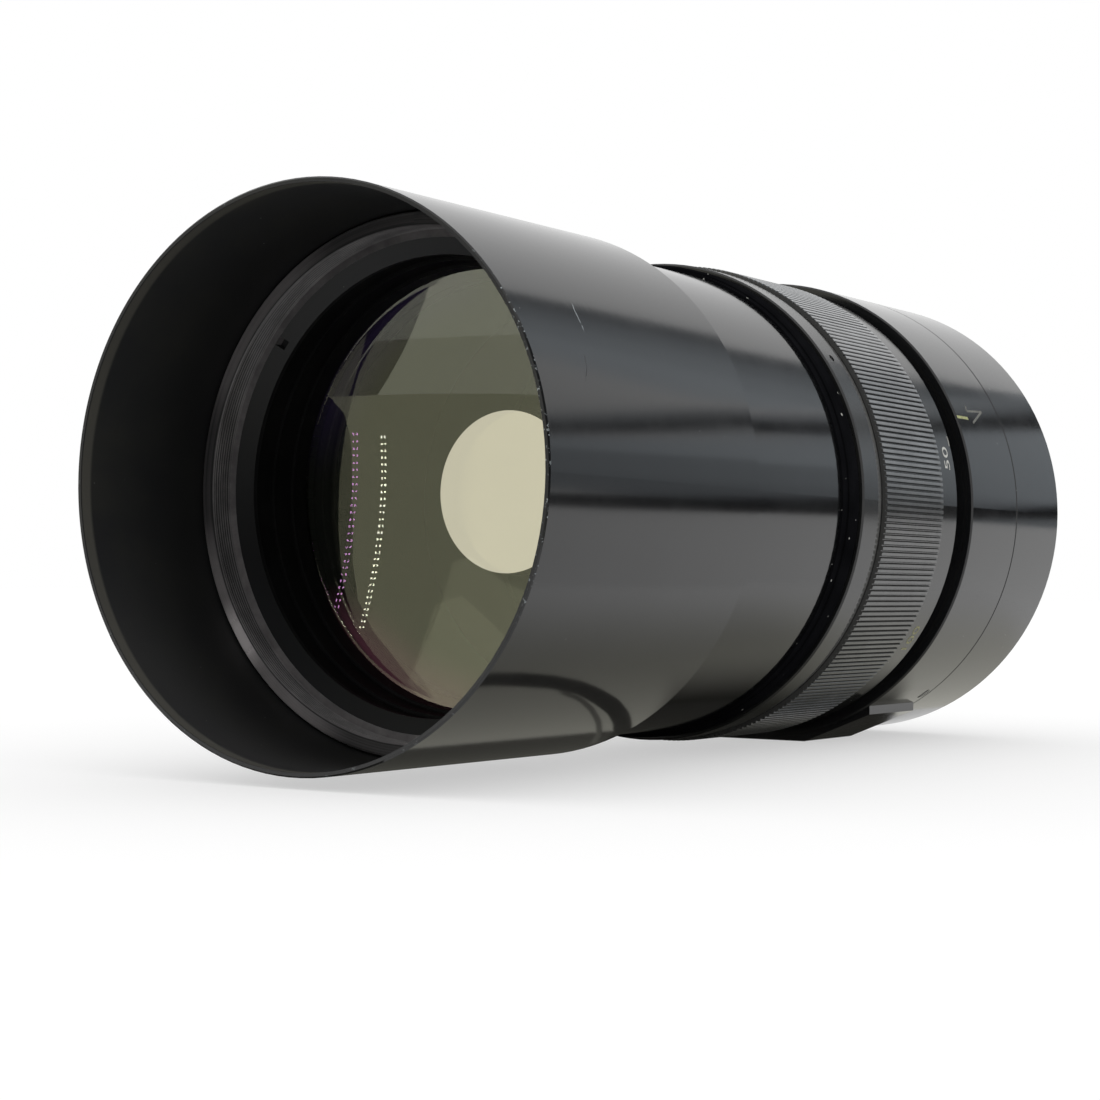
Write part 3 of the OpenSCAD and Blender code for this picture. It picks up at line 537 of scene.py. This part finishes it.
def add_piece(name, mesh, material, body):
    """A new piece with its finish and the body that it moves with."""
    piece = bpy.data.objects.new(name, mesh)
    bpy.context.scene.collection.objects.link(piece)
    mesh.materials.clear()
    mesh.materials.append(material)
    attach(piece, body)
    return piece


def built_mesh(name, shape):
    """The mesh of a built shape, which is then let go."""
    mesh = bpy.data.meshes.new(name)
    shape.to_mesh(mesh)
    shape.free()
    return mesh


def smooth_mesh(name, shape):
    """The mesh of a built shape, smooth but for its sharp edges."""
    bmesh.ops.recalc_face_normals(shape, faces=shape.faces)
    mesh = built_mesh(name, shape)
    mesh.shade_smooth()
    mesh.set_sharp_from_angle(angle=math.radians(SHARP_EDGE))
    return mesh


def turned_mesh(name, profile, shift):
    """A closed turned shape from [radius, place] points; shift moves each ring of points along with the turn."""
    shape = bmesh.new()
    rings = []
    for step in range(TURN_STEPS):
        angle = 360.0 * step / TURN_STEPS
        rings.append([shape.verts.new(on_lens(r + shift(angle, i), angle, s)) for i, (r, s) in enumerate(profile)])
    for step in range(TURN_STEPS):
        near, far = rings[step], rings[(step + 1) % TURN_STEPS]
        for i in range(len(profile)):
            j = (i + 1) % len(profile)
            shape.faces.new((near[i], near[j], far[j], far[i]))
    return smooth_mesh(name, shape)


def make_filter_ring():
    """The filter ring with a real screw thread cut in its bore."""
    start, end = BARREL_FRONT + FILTER_BEVEL, BARREL_FRONT + FILTER_DEPTH
    per_pitch = 8
    # The length over which the thread runs out at each end, and the slope and foot of its tooth
    run_out, slope, foot = 0.3, 1.35, 0.1
    count = int((end - start) / THREAD_PITCH * per_pitch)
    profile = [(THREAD_R + FILTER_BEVEL, BARREL_FRONT), (FILTER_RING_R - FILTER_BEVEL, BARREL_FRONT),
               (FILTER_RING_R, BARREL_FRONT + FILTER_BEVEL), (FILTER_RING_R, BARREL_FRONT + FILTER_LEN),
               (FILTER_BORE, BARREL_FRONT + FILTER_LEN), (FILTER_BORE, end)]
    first = len(profile)
    places = [end - (end - start) * i / count for i in range(count + 1)]
    profile += [(THREAD_R, s) for s in places]

    def thread(angle, index):
        if index < first:
            return 0.0
        s = places[index - first]
        turn = ((s - start) / THREAD_PITCH - angle / 360.0) % 1.0
        tooth = abs(2.0 * turn - 1.0)
        ends = min(1.0, (s - start) / run_out, (end - s) / run_out)
        return THREAD_DEPTH * max(0.0, min(1.0, slope * (1.0 - tooth) - foot)) * max(0.0, ends)

    mesh = turned_mesh("threaded_filter_ring", profile, thread)
    piece = add_piece("threaded_filter_ring", mesh, worn_thread_painted_glints(), "lens_body")
    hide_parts("filter_ring")


def dome(curve, s_pole, r):
    """Place of a point at radius r on a sphere whose pole lies on the axis, hollow towards the front."""
    return s_pole - curve + math.sqrt(curve * curve - r * r)


def closed_disc(name, profile):
    """A closed turned shape whose profile starts and ends on the axis."""
    shape = bmesh.new()
    loops = [[shape.verts.new(on_lens(r, 360.0 * k / TURN_STEPS, s)) for k in range(TURN_STEPS)]
             for r, s in profile[1:-1]]
    first, last = (shape.verts.new(on_lens(0.0, 0.0, s)) for _, s in (profile[0], profile[-1]))
    for k in range(TURN_STEPS):
        n = (k + 1) % TURN_STEPS
        shape.faces.new((first, loops[0][k], loops[0][n]))
        shape.faces.new((last, loops[-1][n], loops[-1][k]))
        for a, b in zip(loops, loops[1:]):
            shape.faces.new((a[k], b[k], b[n], a[n]))
    return smooth_mesh(name, shape)


def make_front_glass():
    """The front glass with evenly spaced points, so that it mirrors without ripples."""
    rings = 48
    front = [(r, dome(FRONT_CURVE, S_GLASS, r)) for r in (HOLLOW_R * i / rings for i in range(rings))]
    back = [(r, dome(GLASS_BACK_CURVE, S_GLASS_BACK, r)) for r in (GLASS_R * i / rings for i in range(rings, -1, -1))]
    mesh = closed_disc("polished_front_glass", front + [(HOLLOW_R, S_SEAT), (GLASS_R, S_SEAT)] + back)
    piece = add_piece("polished_front_glass", mesh, GLASS, "lens_body")
    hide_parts("corrector_glass")


def make_spot():
    """The silvered spot, sunk a hair into the glass so that the two surfaces don't lie in one place."""
    rings = 24
    radii = [SPOT_R * i / rings for i in range(rings + 1)]
    front = [(r, dome(GLASS_BACK_CURVE - SPOT_SINK, S_GLASS_BACK - SPOT_SINK, r)) for r in radii]
    back = [(r, dome(GLASS_BACK_CURVE + SPOT_LEN, S_GLASS_BACK + SPOT_LEN, r)) for r in radii]
    mesh = closed_disc("silvered_spot", front + back[::-1])
    piece = add_piece("silvered_spot", mesh, SPOT_SILVER, "lens_body")
    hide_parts("secondary_spot")


def wrap(mesh, radius, angle, s):
    """Bends a flat drawing in millimetres round the lens: its x runs up the angle, its y towards the front."""
    for vertex in mesh.vertices:
        u, v, w = vertex.co
        vertex.co = on_lens(radius + PAINT_LIFT + w, angle + math.degrees(u / radius), s - v)
    mesh.update()


def scale_number(text, angle, filling, squeeze):
    """A number on the scale ring, reading up the lens's side with its head towards the front."""
    name = "scale_number_" + text
    curve = bpy.data.curves.new(name, "FONT")
    curve.body = text
    curve.size = NUMBER_HEIGHT / NUMBER_SHARE
    curve.align_x, curve.align_y = "CENTER", "CENTER"
    curve.extrude = PAINT_HALF
    curve.resolution_u = 6
    holder = bpy.data.objects.new(name + "_drawing", curve)
    bpy.context.scene.collection.objects.link(holder)
    bpy.context.view_layer.update()
    mesh = bpy.data.meshes.new_from_object(holder)
    bpy.data.objects.remove(holder)
    bpy.data.curves.remove(curve)
    mesh.name = name
    for vertex in mesh.vertices:
        vertex.co.x *= squeeze
    wrap(mesh, SCALE_R, angle, S_SCALE + NUMBER_IN)
    return add_piece(name, mesh, filling, "focus_ring")


def strip_mark(name, path, width, radius, angle, s, material, body):
    """A thin painted line along flat points given in millimetres from a place on the lens."""
    shape = bmesh.new()
    for (ax, ay), (bx, by) in zip(path, path[1:]):
        span = math.hypot(bx - ax, by - ay)
        ux, uy = (bx - ax) / span, (by - ay) / span
        nx, ny = -uy * width / 2, ux * width / 2
        cuts = max(2, int(span / STRIP_STEP))
        rows = []
        for i in range(cuts + 1):
            x, y = ax + (bx - ax) * i / cuts, ay + (by - ay) * i / cuts
            rows.append((shape.verts.new((x - nx, y - ny, 0.0)), shape.verts.new((x + nx, y + ny, 0.0))))
        for near, far in zip(rows, rows[1:]):
            shape.faces.new((near[0], far[0], far[1], near[1]))
    bmesh.ops.solidify(shape, geom=list(shape.faces), thickness=2 * PAINT_HALF)
    mesh = built_mesh(name, shape)
    wrap(mesh, radius, angle, s)
    return add_piece(name, mesh, material, body)


def make_marks():
    """The scale's numbers and tick, and the index on the rear barrel."""
    scale_number("50", 101.8, WHITE_PAINT, 1.45)
    strip_mark("scale_tick_50", [(-1.3, 0.0), (1.3, 0.0)], 0.6, SCALE_R, 106.4, S_RECESS - 0.75, WHITE_PAINT,
               "focus_ring")
    scale_number("100", 55.0, FADED_YELLOW, 1.3)
    scale_number("20", 196.0, WHITE_PAINT, 1.45)
    strip_mark("index_line", [(0.0, 0.0), (0.0, -7.0)], 0.8, REAR_R, 112.6, S_COLLAR + 0.45, YELLOW_PAINT, "lens_body")
    strip_mark("index_arrow", [(3.4, -8.9), (1.7, -8.0), (2.3, -18.4), (-1.5, -9.4)], 0.6, REAR_R, 113.0,
               S_COLLAR + 0.45, WORN_WHITE, "lens_body")


make_filter_ring()
make_front_glass()
make_spot()
make_marks()


# --- stage ------------------------------------------------------------------

def shown_white(name, colour, own_light):
    """A pale surface that looks white where the camera, metal or glass sees it."""
    f = Finish(name, Base_Color=colour, Roughness=0.9, Specular_IOR_Level=0.0, Emission_Color=WHITE)
    path = f.node("ShaderNodeLightPath")
    camera, glossy, through = (Value(f, path.outputs[ray]) for ray in (
        "Is Camera Ray", "Is Glossy Ray", "Is Transmission Ray"))
    f.put(Normal=f.bump(f.noise(0.02), 0.02), Emission_Strength=camera.most(glossy).most(through) * own_light)
    return f.material


def stage_piece(name, mesh, material, shown=False):
    """A piece of the stage, hidden from the camera, from shadows and from diffuse light unless it is shown."""
    mesh.materials.append(material)
    piece = bpy.data.objects.new(name, mesh)
    bpy.context.scene.collection.objects.link(piece)
    piece.visible_camera = piece.visible_shadow = piece.visible_diffuse = shown
    return piece


def card(name, corners, material, shown=False):
    mesh = bpy.data.meshes.new(name)
    mesh.from_pydata([Vector(c) for c in corners], [], [tuple(range(len(corners)))])
    return stage_piece(name, mesh, material, shown)


def plain_card(name, level, tint):
    """The finish of a card that only gives off its own light."""
    return Finish(name, Base_Color=BLACK, Roughness=1.0, Specular_IOR_Level=0.0, Emission_Color=tint,
                  Emission_Strength=level).material


# Where the upright cards stand along Y: behind the lens, just behind it and before it
FAR, NEAR, WALL = 3.0, 0.35, -0.55
# The floor in metres, its colour, and the light of its own that makes it look white
FLOOR_HALF, FLOOR_DROP, FLOOR_COLOUR, FLOOR_OWN_LIGHT = 8.0, 0.0002, (0.5, 0.5, 0.5), 0.53
# Outline of the dark opening that the camera looks in through, in X and Z
OPENING = [(-0.075, 0.0), (-0.088, 0.015), (-0.092, 0.035), (-0.093, 0.082), (-0.099, 0.131), (-0.112, 0.164),
           (-0.136, 0.192), (-0.168, 0.216), (-0.206, 0.244), (-0.264, 0.277), (-0.264, 0.6), (0.9, 0.6), (0.9, 0.0)]
# Tints of the cards' own light
COOL, WARM = (0.90, 0.98, 1.05), (1.0, 0.985, 0.86)
# Small lamps in metres: half their width, the step between two side by side, and how many rows they make
LAMP_HALF, LAMP_STEP, LAMP_ROWS = 0.0008, 0.0036, 30


def flag(name, outline, level, y=FAR, tint=COOL):
    """A card behind or before the lens, which shows only in its polished surfaces; outline in X and Z."""
    card(name, [(x, y, z) for x, z in outline], plain_card(name, level, tint))


def upright(left, right, low, high):
    return [(left, low), (right, low), (right, high), (left, high)]


def patch(name, outline, height, level):
    """A darker patch on the floor, which shows only in polished surfaces; outline in millimetres."""
    card(name, [(x * MM, y * MM, height * MM) for x, y in outline], plain_card(name, level, WARM))


def shaded_floor():
    """The floor's shade beside the lens, deepest by the hood, as polished surfaces mirror it."""
    f = Finish("shaded_floor", Base_Color=BLACK, Roughness=1.0, Specular_IOR_Level=0.0, Emission_Strength=1.0)
    across, along, _ = f.place()
    beside = f.colours(along.rise(165.0, 250.0), (0.41, 0.404, 0.352), (0.74, 0.73, 0.66))
    shade = f.colours(across.rise(46.0, 98.0).most(along.rise(300.0, 355.0)), beside, (0.97, 0.97, 0.97))
    under = across.rise(50.0, 22.0) * along.within(108.0, 236.0, 6.0)
    f.put(Emission_Color=f.colours(under, shade, (0.02, 0.02, 0.016)))
    return f.material


def ribbon(outer, inner):
    """The outline of a curved strip from its two long edges."""
    return outer + inner[::-1]


def make_lamp_row(name, low, high, level, tint):
    """A column of small lamps that the front glass mirrors; low and high are its ends in X and Z."""
    shape = bmesh.new()
    for i in range(2 * LAMP_ROWS):
        share = i // 2 / (LAMP_ROWS - 1)
        x, z = (a + (b - a) * share for a, b in zip(low, high))
        x += LAMP_STEP * (i % 2)
        shape.faces.new([shape.verts.new((x + side * LAMP_HALF, WALL + 0.003, z + end * LAMP_HALF))
                         for side, end in ((-1, -1), (1, -1), (1, 1), (-1, 1))])
    stage_piece(name, built_mesh(name, shape), plain_card(name, level, tint))


def make_stage():
    """The floor, the cards that the polished surfaces mirror, and an even white world."""
    corners = [(x * FLOOR_HALF, y * FLOOR_HALF, 0) for x, y in ((-1, -1), (1, -1), (1, 1), (-1, 1))]
    floor = card("floor", corners, shown_white("pale_floor", FLOOR_COLOUR, FLOOR_OWN_LIGHT), True)
    floor.location.z = -FLOOR_DROP
    # What the barrel's flank mirrors, from the skyline up
    flag("flag_skyline", [(0.05, 0.083), (0.198, 0.057), (0.322, 0.026), (0.383, 0.007), (0.6, -0.048),
                          (0.6, -0.008), (0.383, 0.046), (0.322, 0.058), (0.198, 0.080), (0.05, 0.106)], 0.0, NEAR)
    flag("flag_wall_foot", upright(0.9, 3.2, 0.0, 0.33), 0.40)
    flag("flag_wall_middle", upright(0.9, 3.2, 0.33, 0.60), 0.52)
    flag("flag_wall_top", [(0.9, 0.60), (3.2, 0.60), (2.4, 0.66), (1.72, 0.82), (1.39, 0.97), (0.9, 1.03)], 0.78)
    flag("flag_rail", [(0.25, 1.02), (0.79, 0.965), (1.39, 1.01), (1.72, 0.885), (2.4, 0.65),
                       (2.4, 0.79), (1.72, 1.035), (1.39, 1.15), (0.79, 1.155), (0.25, 1.19)], 0.0)
    flag("flag_wall_side", [(0.6, 0.27), (1.32, 0.27), (1.32, 1.0), (0.6, 1.04)], 0.62, FAR - 0.02)
    flag("flag_over_rail", [(0.25, 1.19), (0.79, 1.155), (1.39, 1.15), (1.72, 1.035), (2.4, 0.79),
                            (2.4, 0.88), (1.72, 1.12), (1.39, 1.22), (0.75, 1.27), (0.25, 1.30)], 0.42)
    for name, left, right, level in (("flag_edge", 0.33, 0.56, 0.20), ("flag_edge_next", 0.56, 0.76, 0.42),
                                     ("flag_edge_far", 0.76, 1.0, 0.62), ("flag_edge_last", 1.0, 1.35, 0.82)):
        flag(name, upright(left, right, 1.29, 2.6), level, FAR + 0.01)
    # What its underside mirrors: the shaded floor beside the lens and a dark loop on it
    card("patch_beside", [(x, y, 0.05 * MM) for x, y in ((0.02, -0.2), (0.1, -0.2), (0.1, 0.15), (0.02, 0.15))],
         shaded_floor())
    # patch_hood and patch_under are painted shadow of the lens on the floor, by the hood and under the barrel
    patch("patch_hood", [(-70, -210), (20, -210), (20, -100), (-70, -100)], 0.10, 0.08)
    patch("patch_under", [(-300, -100), (22, -100), (22, 30), (-300, 30)], 0.15, 0.03)
    patch("patch_front", [(-124, -549), (-120, -300), (300, -300), (600, -549)], 0.20, 0.33)
    patch("patch_front_edge", [(-124, -549), (-120, -300), (-90, -300), (-94, -549)], 0.25, 0.02)
    # The dark loop is painted shadow on the floor, and patch_loop_light a thin strip of painted light along it
    patch("patch_loop", ribbon(
        [(48.8, -185), (48.8, -170.7), (48.3, -161.7), (46.8, -150.5), (43.7, -139.1), (39.8, -130.9), (35.1, -123.0),
         (28.9, -115.6), (20.5, -107.6), (8.0, -103.0)],
        [(43.5, -185), (43.5, -171.6), (42.6, -162.4), (41.0, -151.1), (38.4, -141.0), (34.1, -133.1), (29.2, -125.2),
         (23.7, -118.8), (17.9, -113.7), (8.0, -109.0)]), 0.30, 0.05)
    patch("patch_loop_light", ribbon(
        [(40.4, -147.1), (37.0, -138.8), (32.4, -132.5), (26.2, -125.8), (20.9, -121.0), (12.9, -114.7)],
        [(38.9, -147.8), (35.5, -139.8), (31.0, -133.8), (25.0, -127.3), (19.9, -122.6), (12.0, -116.5)]), 0.35, 0.14)
    # What the front glass mirrors: a wall, a lighter wedge on it, and the dark opening that the camera looks in through
    flag("flag_front_wall", upright(-0.9, 0.9, 0.0, 0.6), 0.60, WALL, WARM)
    flag("flag_front_wedge", [(-0.204, 0.232), (-0.216, 0.136), (-0.24, 0.132), (-0.296, 0.157), (-0.4, 0.186),
                              (-0.5, 0.22), (-0.5, 0.35), (-0.281, 0.30), (-0.238, 0.258)], 0.92, WALL + 0.001, WARM)
    flag("flag_opening", OPENING, 0.03, WALL + 0.002)
    make_lamp_row("lamp_row", (-0.127, 0.034), (-0.1245, 0.188), 16.0, WHITE)
    make_lamp_row("lamp_row_in_back_face", (-0.0985, 0.031), (-0.0925, 0.192), 9.0, (0.74, 0.32, 1.0))
    world = bpy.data.worlds.new("studio")
    bpy.context.scene.world = world
    world.use_nodes = True
    background = world.node_tree.nodes["Background"]
    background.inputs["Color"].default_value = (*WHITE, 1.0)
    background.inputs["Strength"].default_value = 1.0
    bpy.context.scene.view_settings.view_transform = "Standard"


make_stage()
